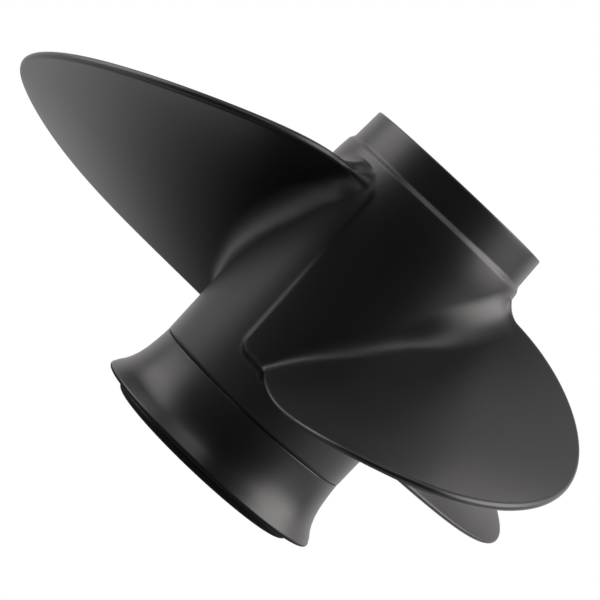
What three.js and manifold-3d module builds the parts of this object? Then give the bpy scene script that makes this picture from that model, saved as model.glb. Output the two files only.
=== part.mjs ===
// Three-blade outboard propeller with through-hub exhaust, in millimetres.
// +Z runs along the shaft towards the gearcase. The origin is on the shaft axis, in the plane of
// the aft lip that the propeller stands on. The first blade's tip lies on the -Y side.

import * as THREE from 'three';
import { mergeVertices } from 'three/addons/utils/BufferGeometryUtils.js';
import Module from 'manifold-3d';

const wasm = await Module();
wasm.setup();

// ---------------------------------------------------------------- driving dimensions

const DIAMETER = 234.95;              // nine and a quarter inches over the blade tips
const PITCH = 254;                    // ten inches of advance in one turn
const BLADES = 3;
const LENGTH = 107;                   // front face to aft lip
const GAP = 0.3;                      // clearance left between touching pieces

const TIP_RADIUS = DIAMETER / 2;
const ADVANCE = PITCH / (2 * Math.PI);   // advance for each radian of turn

// Outer barrel
const COLLAR_RADIUS = 31;             // plain front collar
const COLLAR_LENGTH = 8.5;
const COLLAR_CHAMFER = 0.6;
const SHOULDER_LENGTH = 2.8;
const SHOULDER_FOOT = 0.3;            // how far the shoulder's top stands out from the collar
const BARREL_RADIUS = 33;
const BARREL_BORE = 28.5;
const BARREL_DRAW = 0.5;              // how far the barrel draws in before the shoulder
const BARREL_DRAW_LENGTH = 6;
const SEAM_Z = 22;                    // forward edge of the diffuser ring
const SEAM_RADIUS = 32.6;
const SEAM_TAPER_LENGTH = 13;         // the barrel reaches its full radius this far ahead of the seam
const SPIGOT_RADIUS = 30;             // carries the diffuser ring
const SPIGOT_BORE = 27;
const SPIGOT_TAPER_LENGTH = 3;        // the bore narrows into the spigot over this length
const SPIGOT_CHAMFER = 0.8;
const LIP_RADIUS = 32.3;              // aft end rolled out beside the ring's rim
const LIP_DEPTH = 3.2;
const LIP_STEPS = 6;

// Diffuser ring
const RIM_RADIUS = 38;
const RIM_Z = 2.7;
const RIM_THICKNESS = 1.6;
const RIM_ROUND = [0.6, 0.5];         // how far the rim's aft corner is cut, by radius and by height
const RIM_CUT = 0.4;                  // how far its forward corner is cut
// Outer flare as [distance inside the rim, height above it], and inner flare as [distance outside the
// spigot's bore, height of the point]
const OUTER_FLARE = [[1.3, 1.3], [2.5, 3.1], [3.7, 5.9], [4.5, 9.2], [5.1, 13]];
const INNER_FLARE = [[0, 10], [1.7, 6.2], [4.2, 3.6]];
const RING_SEAM_LENGTH = 1;           // plain band next to the seam

// Inner barrel and ribs
const INNER_RADIUS = 20.5;
const INNER_BORE = 17;
const INNER_AFT_Z = 27;
const INNER_FRONT_Z = 91;
const RIB_THICKNESS = 5;
const RIB_SETBACK = 3;                // ribs stop this far inside the inner barrel's ends
const RIB_TURN = 14;                  // degrees from a blade's tip line to its rib

// Blade plan form, as angles in degrees from the tip line, with s from 0 at the root to 1 at the tip
const LEADING = [51.3, 20.4, -46.7];
const LEADING_ROUNDNESS = 2.2;
const TRAILING = [29.2, -21.4, 13.6];
const TRAILING_ROUNDNESS = 3.9;
const BLADE_Z = 53.6;                 // height of the helicoid at the root, on the tip line
const RAKE = [-15, 7.2];              // sweep along Z in mm, by s and by s squared
const ROOT_THICKNESS = 6.5;
const TIP_THICKNESS = 2.6;
const LEADING_EDGE_SHARE = 0.5;       // edge thickness over the thickness at mid chord
const TRAILING_EDGE_SHARE = 0.35;
const ROOT_SINK = 1.5;                // the blade starts this far inside the barrel's skin
const TIP_SHARE = 0.985;              // the last row stops just short of the point where the edges meet

// Drive sleeve and rubber bush
const SLEEVE_RADIUS = 11;
const SLEEVE_AFT_Z = 25;
const SLEEVE_FRONT_Z = 93;
const SPLINE_TEETH = 8;
const SPLINE_MAJOR = 8.6;
const SPLINE_MINOR = 7.2;
// Bore outline over one tooth, as [share of the tooth's angle, radius]
const SPLINE_TOOTH = [
  [-0.3, SPLINE_MAJOR],
  [0, SPLINE_MAJOR],
  [0.3, SPLINE_MAJOR],
  [0.4, SPLINE_MINOR],
  [0.5, SPLINE_MINOR],
  [0.6, SPLINE_MINOR],
];
const BUSH_INSET = 2;                 // bush ends lie this far inside the inner barrel
const BUSH_CHAMFER = [0.8, 2];        // by radius and by height

// Retaining hardware on the shaft
const SPLINE_CLEARANCE_RADIUS = SPLINE_MAJOR + GAP;   // plain bores that slide over the spline
const THRUST_WASHER_RADIUS = 15;
const THRUST_WASHER_FACE = 12.5;      // radius of the face that meets the sleeve
const THRUST_WASHER_THICKNESS = 6;
const THRUST_WASHER_TAPER = 2;        // height over which it widens from that face
const THRUST_WASHER_CHAMFER = 0.6;
const THRUST_WASHER_BORE_CHAMFER = 1.4;
const SPACER_RADIUS = 13.5;
const SPACER_THICKNESS = 5;
const SPACER_FLANGE = 3;              // height of its wide aft part
const WASHER_RADIUS = 14;
const WASHER_THICKNESS = 2;
const NUT_ACROSS_FLATS = 19;
const NUT_HEIGHT = 15;
const NUT_CROWN_HEIGHT = 5;
const NUT_CROWN_RADIUS = 8.5;
const NUT_CROWN_CHAMFER = 0.8;
const NUT_SIDES = 6;
const NUT_SLOTS = 6;
const NUT_SLOT_WIDTH = 3.5;
const THREAD_RADIUS = 6;
const OVERRUN = 1;                    // how far cutting and joining shapes run past the faces they meet
const PIN_HEIGHT = 2.9;               // pin's centre above the nut's aft face
const PIN_WIRE_RADIUS = 0.7;
const PIN_LEG_SPACING = 1.7;
const PIN_REACH = 11;                 // half length of the straight legs
const PIN_LONG_LEG = 2;               // how much longer one leg is
const PIN_EYE_RADIUS = 1.9;
const PIN_EYE_LENGTH = 5;
const PIN_EYE_BEND = 2;               // how far the eye's curve starts beyond the legs
const PIN_EYE_ROUND = 0.6;            // share of its radius kept at the eye's end

// Fineness
const WELD_DISTANCE = 1e-4;
const ROUND_SEGMENTS = 72;
const SPAN_STEPS = 16;
const CHORD_STEPS = 12;
const EXTRUDED_CURVE_STEPS = 24;
const PIN_STEPS = 60;
const PIN_SECTION_STEPS = 4;

// ---------------------------------------------------------------- materials

function finish(color, roughness, metalness) {
  return new THREE.MeshStandardMaterial({ color, roughness, metalness });
}

const blackPaint = finish(0x151516, 0.42, 0.2);
const blackRubber = finish(0x1b1b1c, 0.85, 0);
const brass = finish(0xb08d4a, 0.38, 1);
const stainless = finish(0xb4b5b6, 0.3, 1);

// ---------------------------------------------------------------- solids

function merged(geometry) {
  const plain = geometry.index ? geometry.clone() : geometry;
  for (const name of Object.keys(plain.attributes)) {
    if (name !== 'position') {
      plain.deleteAttribute(name);
    }
  }
  return mergeVertices(plain, WELD_DISTANCE);
}

function solid(geometry) {
  const whole = merged(geometry);
  return new wasm.Manifold(new wasm.Mesh({
    numProp: 3,
    vertProperties: new Float32Array(whole.attributes.position.array),
    triVerts: new Uint32Array(whole.index.array),
  }));
}

function geometryOf(manifold) {
  const mesh = manifold.getMesh();
  const geometry = new THREE.BufferGeometry();
  geometry.setAttribute('position', new THREE.BufferAttribute(new Float32Array(mesh.vertProperties), 3));
  geometry.setIndex(new THREE.BufferAttribute(new Uint32Array(mesh.triVerts), 1));
  geometry.computeVertexNormals();
  return geometry;
}

// A closed ring turned about Z. The section is a list of [radius, z] and is closed back to its start.
function turned(section) {
  const points = section.map(([radius, z]) => new THREE.Vector2(radius, z));
  points.push(points[0].clone());
  const geometry = new THREE.LatheGeometry(points, ROUND_SEGMENTS);
  geometry.rotateX(Math.PI / 2);
  return geometry;
}

// A round run of [radius, z] points from one angle to another, in degrees.
function arc(centre, radius, from, to, steps) {
  const points = [];
  for (let i = 0; i <= steps; i += 1) {
    const angle = THREE.MathUtils.degToRad(from + (to - from) * i / steps);
    points.push([centre[0] + radius * Math.cos(angle), centre[1] + radius * Math.sin(angle)]);
  }
  return points;
}

function extruded(shape, depth, z) {
  const options = { depth, bevelEnabled: false, curveSegments: EXTRUDED_CURVE_STEPS };
  const geometry = new THREE.ExtrudeGeometry(shape, options);
  geometry.translate(0, 0, z);
  return geometry;
}

// ---------------------------------------------------------------- blade

function quadratic([a, b, c], s) {
  return a + b * s + c * s * s;
}

function edgeAngles(s) {
  const inside = Math.max(s, 0);
  const leading = quadratic(LEADING, s) * Math.sqrt(1 - inside ** LEADING_ROUNDNESS);
  const trailing = -quadratic(TRAILING, s) * Math.sqrt(1 - inside ** TRAILING_ROUNDNESS);
  return [THREE.MathUtils.degToRad(trailing), THREE.MathUtils.degToRad(leading)];
}

// Point of the blade's mean surface, with angle 0 on the tip line.
function meanPoint(radius, angle, s) {
  const z = BLADE_Z + ADVANCE * angle + RAKE[0] * s + RAKE[1] * s * s;
  return new THREE.Vector3(radius * Math.sin(angle), -radius * Math.cos(angle), z);
}

// Unit normal of the helicoid, on the forward side.
function forwardNormal(radius, angle) {
  return new THREE.Vector3(-ADVANCE * Math.cos(angle), -ADVANCE * Math.sin(angle), radius).normalize();
}

function bladeThickness(s, across) {
  const middle = ROOT_THICKNESS + (TIP_THICKNESS - ROOT_THICKNESS) * Math.sqrt(Math.max(s, 0));
  const share = across > 0 ? LEADING_EDGE_SHARE : TRAILING_EDGE_SHARE;
  return middle * (1 - (1 - share) * across * across);
}

function bladeGeometry() {
  const rootRadius = BARREL_RADIUS - ROOT_SINK;
  const rows = SPAN_STEPS + 1;
  const columns = CHORD_STEPS + 1;
  const positions = [];
  for (const side of [1, -1]) {
    for (let i = 0; i < rows; i += 1) {
      const along = Math.sin(i / (rows - 1) * Math.PI / 2 * TIP_SHARE);
      const radius = rootRadius + (TIP_RADIUS - rootRadius) * along;
      const s = (radius - BARREL_RADIUS) / (TIP_RADIUS - BARREL_RADIUS);
      const [trailing, leading] = edgeAngles(s);
      for (let j = 0; j < columns; j += 1) {
        const across = -Math.cos(j / (columns - 1) * Math.PI);
        const angle = trailing + (leading - trailing) * (across + 1) / 2;
        const point = meanPoint(radius, angle, s);
        point.addScaledVector(forwardNormal(radius, angle), side * bladeThickness(s, across) / 2);
        positions.push(point.x, point.y, point.z);
      }
    }
  }
  const offset = rows * columns;
  const at = (i, j, back) => i * columns + j + (back ? offset : 0);
  const index = [];
  const quad = (a, b, c, d) => index.push(a, b, c, a, c, d);
  for (let i = 0; i < rows - 1; i += 1) {
    for (let j = 0; j < columns - 1; j += 1) {
      quad(at(i, j), at(i + 1, j), at(i + 1, j + 1), at(i, j + 1));
      quad(at(i, j, true), at(i, j + 1, true), at(i + 1, j + 1, true), at(i + 1, j, true));
    }
    quad(at(i, 0), at(i, 0, true), at(i + 1, 0, true), at(i + 1, 0));
    const last = columns - 1;
    quad(at(i, last), at(i + 1, last), at(i + 1, last, true), at(i, last, true));
  }
  for (let j = 0; j < columns - 1; j += 1) {
    const last = rows - 1;
    quad(at(0, j), at(0, j + 1), at(0, j + 1, true), at(0, j, true));
    quad(at(last, j), at(last, j, true), at(last, j + 1, true), at(last, j + 1));
  }
  const geometry = new THREE.BufferGeometry();
  geometry.setAttribute('position', new THREE.BufferAttribute(new Float32Array(positions), 3));
  geometry.setIndex(index);
  return geometry;
}

// ---------------------------------------------------------------- propeller casting

function outerBarrel() {
  const shoulderZ = LENGTH - COLLAR_LENGTH;
  const shoulderAft = shoulderZ - SHOULDER_LENGTH;
  const lipRound = LIP_DEPTH / 2;
  return turned([
    [BARREL_BORE, LENGTH],
    [BARREL_BORE, SEAM_Z],
    [SPIGOT_BORE, SEAM_Z - SPIGOT_TAPER_LENGTH],
    [SPIGOT_BORE, SPIGOT_CHAMFER],
    [SPIGOT_BORE + SPIGOT_CHAMFER, 0],
    ...arc([LIP_RADIUS - lipRound, lipRound], lipRound, -90, 90, LIP_STEPS),
    [SPIGOT_RADIUS, LIP_DEPTH],
    [SPIGOT_RADIUS, SEAM_Z],
    [SEAM_RADIUS, SEAM_Z],
    [BARREL_RADIUS, SEAM_Z + SEAM_TAPER_LENGTH],
    [BARREL_RADIUS, shoulderAft - BARREL_DRAW_LENGTH],
    [BARREL_RADIUS - BARREL_DRAW, shoulderAft],
    [COLLAR_RADIUS + SHOULDER_FOOT, shoulderZ],
    [COLLAR_RADIUS, LENGTH - COLLAR_CHAMFER],
    [COLLAR_RADIUS - COLLAR_CHAMFER, LENGTH],
  ]);
}

function innerBarrel() {
  return turned([
    [INNER_BORE, INNER_FRONT_Z],
    [INNER_BORE, INNER_AFT_Z],
    [INNER_RADIUS, INNER_AFT_Z],
    [INNER_RADIUS, INNER_FRONT_Z],
  ]);
}

function rib(turn) {
  const from = (INNER_BORE + INNER_RADIUS) / 2;
  const to = (BARREL_BORE + BARREL_RADIUS) / 2;
  const bottom = INNER_AFT_Z + RIB_SETBACK;
  const top = INNER_FRONT_Z - RIB_SETBACK;
  const geometry = new THREE.BoxGeometry(RIB_THICKNESS, to - from, top - bottom);
  geometry.translate(0, -(from + to) / 2, (bottom + top) / 2);
  geometry.rotateZ(turn);
  return geometry;
}

function bladeCasting() {
  let casting = solid(outerBarrel()).add(solid(innerBarrel()));
  for (let k = 0; k < BLADES; k += 1) {
    const turn = k * 2 * Math.PI / BLADES;
    const blade = bladeGeometry();
    blade.rotateZ(turn);
    casting = casting.add(solid(blade));
    casting = casting.add(solid(rib(turn + THREE.MathUtils.degToRad(RIB_TURN))));
  }
  return geometryOf(casting);
}

// ---------------------------------------------------------------- diffuser ring

function diffuserRing() {
  const bore = SPIGOT_RADIUS + GAP;
  const front = SEAM_Z - GAP;
  const rimTop = RIM_Z + RIM_THICKNESS;
  return turned([
    [bore, front],
    ...INNER_FLARE.map(([out, z]) => [bore + out, z]),
    [RIM_RADIUS - RIM_ROUND[0], RIM_Z],
    [RIM_RADIUS, RIM_Z + RIM_ROUND[1]],
    [RIM_RADIUS, rimTop - RIM_CUT],
    ...OUTER_FLARE.map(([inside, up]) => [RIM_RADIUS - inside, rimTop + up]),
    [SEAM_RADIUS, front - RING_SEAM_LENGTH],
    [SEAM_RADIUS, front],
  ]);
}

// ---------------------------------------------------------------- rubber bush and drive sleeve

function cushBush() {
  const inner = SLEEVE_RADIUS + GAP;
  const outer = INNER_BORE - GAP;
  const bottom = INNER_AFT_Z + BUSH_INSET;
  const top = INNER_FRONT_Z - BUSH_INSET;
  const [cut, rise] = BUSH_CHAMFER;
  return turned([
    [inner, top],
    [inner, bottom],
    [outer - cut, bottom],
    [outer, bottom + rise],
    [outer, top - rise],
    [outer - cut, top],
  ]);
}

function splineOutline() {
  const points = [];
  for (let k = 0; k < SPLINE_TEETH; k += 1) {
    for (const [share, radius] of SPLINE_TOOTH) {
      const angle = (k + share) * 2 * Math.PI / SPLINE_TEETH;
      points.push(new THREE.Vector2(radius * Math.cos(angle), radius * Math.sin(angle)));
    }
  }
  return points;
}

function splineSleeve() {
  const shape = new THREE.Shape();
  shape.absarc(0, 0, SLEEVE_RADIUS, 0, 2 * Math.PI, false);
  shape.holes.push(new THREE.Path(splineOutline()));
  return extruded(shape, SLEEVE_FRONT_Z - SLEEVE_AFT_Z, SLEEVE_AFT_Z);
}

// ---------------------------------------------------------------- retaining hardware

const THRUST_WASHER_Z = SLEEVE_FRONT_Z + GAP;
const SPACER_Z = SLEEVE_AFT_Z - GAP - SPACER_THICKNESS;
const WASHER_Z = SPACER_Z - GAP - WASHER_THICKNESS;
const NUT_Z = WASHER_Z - GAP - NUT_HEIGHT;
const PIN_Z = NUT_Z + PIN_HEIGHT;

function thrustWasher() {
  const top = THRUST_WASHER_Z + THRUST_WASHER_THICKNESS;
  return turned([
    [SPLINE_CLEARANCE_RADIUS, THRUST_WASHER_Z],
    [THRUST_WASHER_FACE, THRUST_WASHER_Z],
    [THRUST_WASHER_RADIUS, THRUST_WASHER_Z + THRUST_WASHER_TAPER],
    [THRUST_WASHER_RADIUS, top - THRUST_WASHER_CHAMFER],
    [THRUST_WASHER_RADIUS - THRUST_WASHER_CHAMFER, top],
    [SPLINE_CLEARANCE_RADIUS + THRUST_WASHER_BORE_CHAMFER, top],
    [SPLINE_CLEARANCE_RADIUS, top - THRUST_WASHER_BORE_CHAMFER],
  ]);
}

function splineSpacer() {
  return turned([
    [SPLINE_CLEARANCE_RADIUS, SPACER_Z],
    [SPACER_RADIUS, SPACER_Z],
    [SPACER_RADIUS, SPACER_Z + SPACER_FLANGE],
    [SLEEVE_RADIUS, SPACER_Z + SPACER_THICKNESS],
    [SPLINE_CLEARANCE_RADIUS, SPACER_Z + SPACER_THICKNESS],
  ]);
}

function plainWasher() {
  return turned([
    [THREAD_RADIUS + GAP, WASHER_Z],
    [WASHER_RADIUS, WASHER_Z],
    [WASHER_RADIUS, WASHER_Z + WASHER_THICKNESS],
    [THREAD_RADIUS + GAP, WASHER_Z + WASHER_THICKNESS],
  ]);
}

function castleNut() {
  const corner = NUT_ACROSS_FLATS / 2 / Math.cos(Math.PI / NUT_SIDES);
  const crownTop = NUT_Z + NUT_CROWN_HEIGHT;
  const outline = [];
  for (let k = 0; k < NUT_SIDES; k += 1) {
    const angle = 2 * Math.PI * k / NUT_SIDES;
    outline.push(new THREE.Vector2(corner * Math.cos(angle), corner * Math.sin(angle)));
  }
  const body = solid(extruded(new THREE.Shape(outline), NUT_HEIGHT - NUT_CROWN_HEIGHT, crownTop));
  const crown = solid(turned([
    [0, NUT_Z],
    [NUT_CROWN_RADIUS - NUT_CROWN_CHAMFER, NUT_Z],
    [NUT_CROWN_RADIUS, NUT_Z + NUT_CROWN_CHAMFER],
    [NUT_CROWN_RADIUS, crownTop + OVERRUN],
    [0, crownTop + OVERRUN],
  ]));
  const bore = solid(turned([
    [0, NUT_Z - OVERRUN],
    [THREAD_RADIUS, NUT_Z - OVERRUN],
    [THREAD_RADIUS, NUT_Z + NUT_HEIGHT + OVERRUN],
    [0, NUT_Z + NUT_HEIGHT + OVERRUN],
  ]));
  let nut = body.add(crown).subtract(bore);
  const slotDepth = NUT_CROWN_HEIGHT + OVERRUN;
  for (let k = 0; k < NUT_SLOTS / 2; k += 1) {
    const turn = 2 * Math.PI * k / NUT_SLOTS;
    const slot = new THREE.BoxGeometry(2 * (corner + OVERRUN), NUT_SLOT_WIDTH, slotDepth);
    slot.translate(0, 0, crownTop - slotDepth / 2);
    slot.rotateZ(turn);
    nut = nut.subtract(solid(slot));
  }
  return geometryOf(nut);
}

function cotterPin() {
  const half = PIN_LEG_SPACING / 2;
  const end = -PIN_REACH - PIN_EYE_LENGTH;
  const bend = -PIN_REACH - PIN_EYE_BEND;
  const wide = half + PIN_EYE_RADIUS;
  const narrow = half + PIN_EYE_RADIUS * PIN_EYE_ROUND;
  const at = (x, z) => new THREE.Vector3(x, 0, PIN_Z + z);
  const path = new THREE.CurvePath();
  path.add(new THREE.LineCurve3(at(PIN_REACH, half), at(-PIN_REACH, half)));
  path.add(new THREE.CubicBezierCurve3(at(-PIN_REACH, half), at(bend, wide), at(end, narrow), at(end, 0)));
  path.add(new THREE.CubicBezierCurve3(at(end, 0), at(end, -narrow), at(bend, -wide), at(-PIN_REACH, -half)));
  path.add(new THREE.LineCurve3(at(-PIN_REACH, -half), at(PIN_REACH + PIN_LONG_LEG, -half)));
  const section = new THREE.Shape();
  section.absarc(0, 0, PIN_WIRE_RADIUS, 0, 2 * Math.PI, false);
  return new THREE.ExtrudeGeometry(section, {
    steps: PIN_STEPS,
    extrudePath: path,
    curveSegments: PIN_SECTION_STEPS,
    bevelEnabled: false,
  });
}

// ---------------------------------------------------------------- assembly

const propeller = new THREE.Group();

function place(name, geometry, material) {
  const mesh = new THREE.Mesh(geometry, material);
  mesh.name = name;
  propeller.add(mesh);
}

place('blade_casting', bladeCasting(), blackPaint);
place('diffuser_ring', diffuserRing(), blackPaint);
place('cush_bush', cushBush(), blackRubber);
place('spline_sleeve', splineSleeve(), brass);
place('thrust_washer', thrustWasher(), brass);
place('spline_spacer', splineSpacer(), brass);
place('plain_washer', plainWasher(), stainless);
place('castle_nut', castleNut(), stainless);
place('cotter_pin', cotterPin(), stainless);

export default propeller;
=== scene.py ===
"""A three-blade outboard propeller with through-hub exhaust, in satin black paint, with the rubber bush,
drive sleeve and retaining hardware inside its hub. Lengths are in millimetres until a mesh is made."""

import math
from itertools import product

import bmesh
import bpy
import numpy as np
from mathutils import Matrix, Vector
from mathutils.geometry import delaunay_2d_cdt


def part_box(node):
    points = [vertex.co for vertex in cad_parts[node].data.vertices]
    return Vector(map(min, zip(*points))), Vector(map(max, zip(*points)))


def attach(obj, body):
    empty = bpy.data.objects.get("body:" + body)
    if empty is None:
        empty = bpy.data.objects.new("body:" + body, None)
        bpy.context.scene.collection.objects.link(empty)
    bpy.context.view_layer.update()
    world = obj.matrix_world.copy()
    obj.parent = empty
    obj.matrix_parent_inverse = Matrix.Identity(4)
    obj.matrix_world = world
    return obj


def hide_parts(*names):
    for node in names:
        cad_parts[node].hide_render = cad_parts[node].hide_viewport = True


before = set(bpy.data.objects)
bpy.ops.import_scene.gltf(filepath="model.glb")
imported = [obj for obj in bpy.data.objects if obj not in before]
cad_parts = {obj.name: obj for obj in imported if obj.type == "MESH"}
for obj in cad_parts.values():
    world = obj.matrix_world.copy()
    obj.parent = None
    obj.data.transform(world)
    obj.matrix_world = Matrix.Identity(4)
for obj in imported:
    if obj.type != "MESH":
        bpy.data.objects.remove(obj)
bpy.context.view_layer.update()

MM = 0.001


def node_box(name):
    """Lowest and highest corner of a CAD node, in millimetres."""
    low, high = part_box(name)
    return [v / MM for v in low], [v / MM for v in high]


CASTING_BOX = node_box("blade_casting")
RING_BOX = node_box("diffuser_ring")
BUSH_BOX = node_box("cush_bush")
SLEEVE_BOX = node_box("spline_sleeve")
THRUST_BOX = node_box("thrust_washer")
SPACER_BOX = node_box("spline_spacer")
WASHER_BOX = node_box("plain_washer")

# ---------------------------------------------------------------- dimensions

TINY = 1e-9                           # smallest length or angle that anything is divided by
BLADES = 3
SECTOR = 2 * math.pi / BLADES
TIP_RADIUS = 117.475
PITCH = 254
ADVANCE = PITCH / (2 * math.pi)       # advance for each radian of turn
LENGTH = CASTING_BOX[1][2]

# Barrel. The two die halves taper opposite ways, and meet at a small step between the blades.
BARREL_RADIUS = 33.0
FORWARD_TAPER = (32.9, 0.0143, 89.5)  # radius, growth for each mm aft, and the height it starts from
AFT_TAPER = (32.6, 0.0122, 22.0)      # radius, growth for each mm forward, and the height it starts from
SEAM_Z = 22.0
SKIN_TOP = 94.6                       # where the barrel's skin ends and the shoulder starts
COLLAR_RADIUS = 31.0
SHOULDER_TOP = LENGTH - 7.9
SHOULDER_STEPS = 24
SHOULDER_TILT = ((94.6, 7), (95.6, 8), (96.5, 32), (97.0, 32), (98.0, 2))  # height and slope in degrees
BARREL_BORE = 28.5
SPIGOT_RADIUS = 30.0
SPIGOT_BORE = 27.0
LIP_RADIUS = 32.3
LIP_DEPTH = 3.2
LIP_EASE = 0.6                        # room between the lip's round and the spigot
LIP_INSIDE_ROUND = 1.2
SEAM_EDGE = (0.35, 0.3)               # the skin's broken edge at the seam, inward and down
SPIGOT_EASE = 0.3                     # the spigot's inside corner at the seam
BORE_STEP = 3.0                       # length over which the spigot's bore widens to the barrel's
BORE_EASE = (0.4, 0.6)                # its round ends, across and along
BORE_ROWS = (2.0, 3.0)                # the bore's rings of points: distance from the ends, and spacing
FRONT_INSIDE_ROUND = 0.8
FRONT_OUTSIDE_ROUND = 0.5
COLLAR_ROWS = 5
TOP_EASING = (88.0, 0.008)            # height where the barrel starts to draw in, and how fast
STEP_WIDTH = 1.9                      # width of the step's slope

# Step line between one blade's trailing root and the next one's leading root, in degrees and mm
STEP_ANGLE_FORWARD = -50.4
STEP_ANGLE_AFT = -47.9
STEP_TOP = 90.0
STEP_BOTTOM = 33.4
STEP_CORNER_FORWARD = 3.5
STEP_CORNER_AFT = 4.0

# Blade plan form, as angles in degrees from the tip line, with s from 0 at the root to 1 at the tip
LEADING = (51.3, 20.4, -46.7)
LEADING_ROUNDNESS = 2.2
TRAILING = (29.2, -21.4, 13.6)
TRAILING_ROUNDNESS = 3.9
BLADE_Z = 53.6
RAKE = (-15.0, 7.2)
MID_THICKNESS_ROOT = 6.5
MID_THICKNESS_TIP = 2.4
LEADING_EDGE_THICKNESS = 2.5
TRAILING_EDGE_THICKNESS = 1.4
FILLET_TOP = 12.0                     # height above the barrel where the root fillet starts
# Root fillet radii as (place, radius), from the trailing end (-1) to the leading end (1)
SUCTION_FILLET = ((-1, 2.4), (-0.6, 4.2), (0, 4.5), (0.45, 8.0), (0.8, 9.5), (0.97, 8.0), (1, 3.8))
PRESSURE_FILLET = ((-1, 2.4), (-0.6, 6.0), (0, 7.5), (0.5, 7.5), (0.8, 4.5), (0.94, 2.2), (1, 3.2))
FILLET_LIMIT = (92.8, 94.3)           # heights where the fillet starts to be held down, and where it ends
FLARE = (5.0, 0.4)                    # how far the leading end's foot is swept round the barrel, and up
FLARE_FROM = 0.5                      # place where the sweep starts
FLARE_FADE = 3.5                      # how fast the sweep dies out away from the barrel

# Inner barrel and ribs
INNER_RADIUS = 20.5
INNER_BORE = 17.0
INNER_AFT_Z = 27.0
INNER_FRONT_Z = 91.0
INNER_ROUNDS = (0.6, 0.6, 1.0, 1.0)   # radii of the profile's corners, in its own order
RIB_HALF = 2.5
RIB_SETBACK = 3.0
RIB_FILLET = 2.5
RIB_ROUND = 1.2                       # round of a rib's two ends
RIB_OVERLAP = 1.2                     # how far a rib reaches into each barrel's wall
RIB_STEPS = 6
RIB_TURN = math.radians(14)

# Diffuser ring
RING_CLEARANCE = 0.3                  # between the ring and the spigot, and between the ring and the barrel
RING_BORE_EASE = 0.4
RING_INSIDE = ((0.0, 11.0), (0.5, 8.2), (1.8, 5.9), (4.2, 3.9))  # out from the bore, and height
RING_RIM_ROUND = 0.8
RING_RIM_FOOT = (1.2, 0.15)           # in from the rim, and above its lowest point
RING_OUTSIDE = ((0.9, 2.6), (1.9, 3.9), (2.9, 5.7), (3.8, 8.0),
                (4.5, 10.8), (4.95, 13.8), (5.25, 16.5))  # in from the rim, and above its lowest point
RING_SEAM_RADIUS = 32.6
RING_SEAM_ROUND = 0.35
RING_SEAM_EASE = 0.6

# Bush, drive sleeve and retaining hardware. Chamfers are given across and along, and rounds as the radii of
# a profile's corners, in its own order.
BUSH_GAP = 0.3
BUSH_INNER_CHAMFER = (1.2, 1.5)
BUSH_OUTER_CHAMFER = (1.6, 2.2)
BUSH_ROUNDS = (0.8, 0.8, 0.6, 0.8, 1.2, 1.2, 0.8, 0.6)
SPLINE_TEETH = 8
SPLINE_MAJOR = 8.6
SPLINE_MINOR = 7.2
SPLINE_FLANK = (0.45, 0.2)            # a flank's start and width, as shares of half a tooth's pitch
SLEEVE_CHAMFER = (0.35, 1.2)
SLEEVE_END = ((0.6, 0.0), (0.2, 0.15), (0.0, 0.6), (0.0, 2.5), (0.0, 6.0))  # in from outside, from the end
BORE_CLEARANCE = 0.3                  # of the washer's and spacer's bores over the spline
THRUST_BEVEL = (2.5, 2.0)
THRUST_CHAMFER = 1.4
THRUST_ROUNDS = (0.3, 0.3, 0.4, 0.6, 0.3, 0.3)
SPACER_FLANGE = 3.0
SPACER_NECK_FOOT = (11.2, 3.4)        # the neck's radius at the flange, and height
SPACER_NECK_RADIUS = 11.0
SPACER_ROUNDS = (0.3, 0.4, 0.3, 0.2, 0.3, 0.3)
WASHER_BORE = 6.3
WASHER_ROUNDS = (0.15, 0.5, 0.2, 0.15)

# Fineness
ROUND = 240                           # points round a full circle
BUSH_SEGMENTS = 144
SLEEVE_SEGMENTS = 320
HARDWARE_SEGMENTS = 180
BUSH_STEPS = 4                        # steps round each rounded corner
HARDWARE_STEPS = 3
WELD = 0.002                          # points closer than this are merged
CAST_SHARP = math.radians(50)         # edges with a larger turn are shaded sharp
SLEEVE_SHARP = math.radians(35)

# Points of the blade's two faces and of the root fillet
NOSE_STEPS = 7
FACE_STEPS = 22
FACE_GROWTH = 1.35                    # how much the steps over the face grow towards the spine
TIP_STEPS = 110                       # columns from the fillet's top to the tip, on each side
ROOT_STEPS = 32
FILLET_ROWS = 16
FILLET_S = FILLET_TOP / (TIP_RADIUS - BARREL_RADIUS)
SPINE_END = 0.86                      # where the spine ends, as s

# Points of the barrel's skin, in mm
SECTOR_START = math.radians(-44)      # where one sector of the skin ends and the next starts
SKIN_PITCH = 1.0
STEP_SPACING = 0.5
STEP_OFFSETS = (-1.1, -0.7, -0.42, -0.28, -0.14, 0, 0.14, 0.28, 0.42, 0.7, 1.1)  # across the step
BORDER_OFFSETS = (-0.6, -0.3, -0.15, 0, 0.15, 0.3, 0.6)  # where the step crosses the sector's border
BASE_OFFSETS = (0.35, 0.9)            # round the blade's base
STEP_CLEARANCE = 1.5
BASE_CLEARANCE = 0.2
BORDER_CLEARANCE = 0.3
POINT_SPACING = 0.1
SAME_POINT = 1e-6


# ---------------------------------------------------------------- mesh helpers

def mesh_object(name, points, faces):
    """A smooth-shaded object from points in millimetres."""
    mesh = bpy.data.meshes.new(name)
    mesh.from_pydata([tuple(np.asarray(p) * MM) for p in points], [], [tuple(f) for f in faces])
    mesh.validate()
    obj = bpy.data.objects.new(name, mesh)
    bpy.context.scene.collection.objects.link(obj)
    mesh.shade_smooth()
    return obj


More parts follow.
